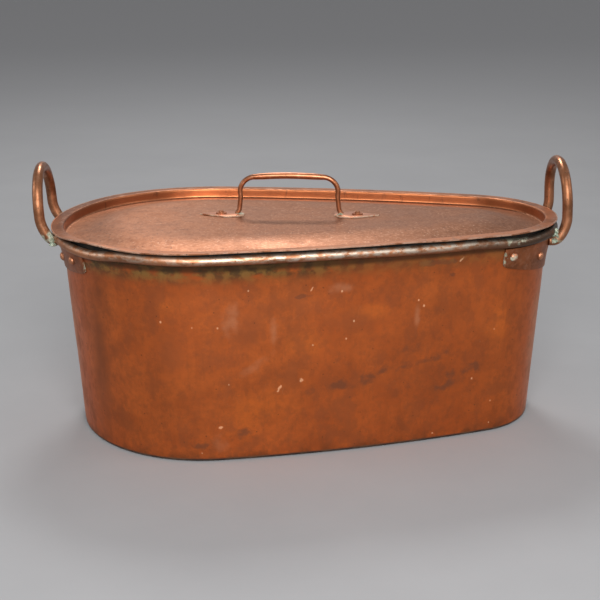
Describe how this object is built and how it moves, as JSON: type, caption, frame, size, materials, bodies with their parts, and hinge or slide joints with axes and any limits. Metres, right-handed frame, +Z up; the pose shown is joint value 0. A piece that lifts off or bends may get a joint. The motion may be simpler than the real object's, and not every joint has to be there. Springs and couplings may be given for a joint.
{
  "type": "fish kettle",
  "caption": "Long oval copper fish kettle with a rolled rim, upright end loops, a sunk lid with a bail, and a pierced drainer that lifts out.",
  "frame": {"origin": "middle of the flat underside, halfway along the rim, on the surface that the kettle stands on", "axes": "+X along the kettle towards its narrower end, -Y towards the side in the picture, +Z up"},
  "size_m": [0.5872, 0.34, 0.2965],
  "materials": {
    "copper_sheet": "hand-worked copper sheet, brown patina, satin where wiped",
    "copper_rod": "copper rod, browned, polished along its top by hands",
    "copper_rivet": "hammered copper rivet, rubbed bright on its head",
    "iron_wire": "plain iron wire, sealed in the rim",
    "tinned_copper": "hand-tinned copper, dull grey"
  },
  "bodies": {
    "kettle": {"body_wall": "copper_sheet", "base_plate": "copper_sheet", "rim_wire": "iron_wire", "handle_left": "copper_rod", "handle_right": "copper_rod", "handle_plate_left": "copper_sheet", "handle_plate_right": "copper_sheet", "handle_rivets_left": "copper_rivet", "handle_rivets_right": "copper_rivet"},
    "lid": {"lid_pan": "copper_sheet", "lid_handle": "copper_rod", "lid_foot_left": "copper_sheet", "lid_foot_right": "copper_sheet", "lid_rivets": "copper_rivet", "lid_roves": "copper_rivet"},
    "drainer": {"drainer_plate": "tinned_copper", "drainer_handle_left": "tinned_copper", "drainer_handle_right": "tinned_copper", "drainer_rivets": "tinned_copper", "drainer_feet": "tinned_copper"}
  },
  "joints": [
    {"name": "lid_lift", "type": "slide", "parent": "kettle", "child": "lid", "axis": [0, 0, 1], "range_m": [0, 0.3]},
    {"name": "drainer_lift", "type": "slide", "parent": "kettle", "child": "drainer", "axis": [0, 0, 1], "range_m": [0, 0.24]}
  ],
  "couplings": [
    {"joint": "drainer_lift", "follows": "lid_lift", "ratio": 0.8}
  ]
}
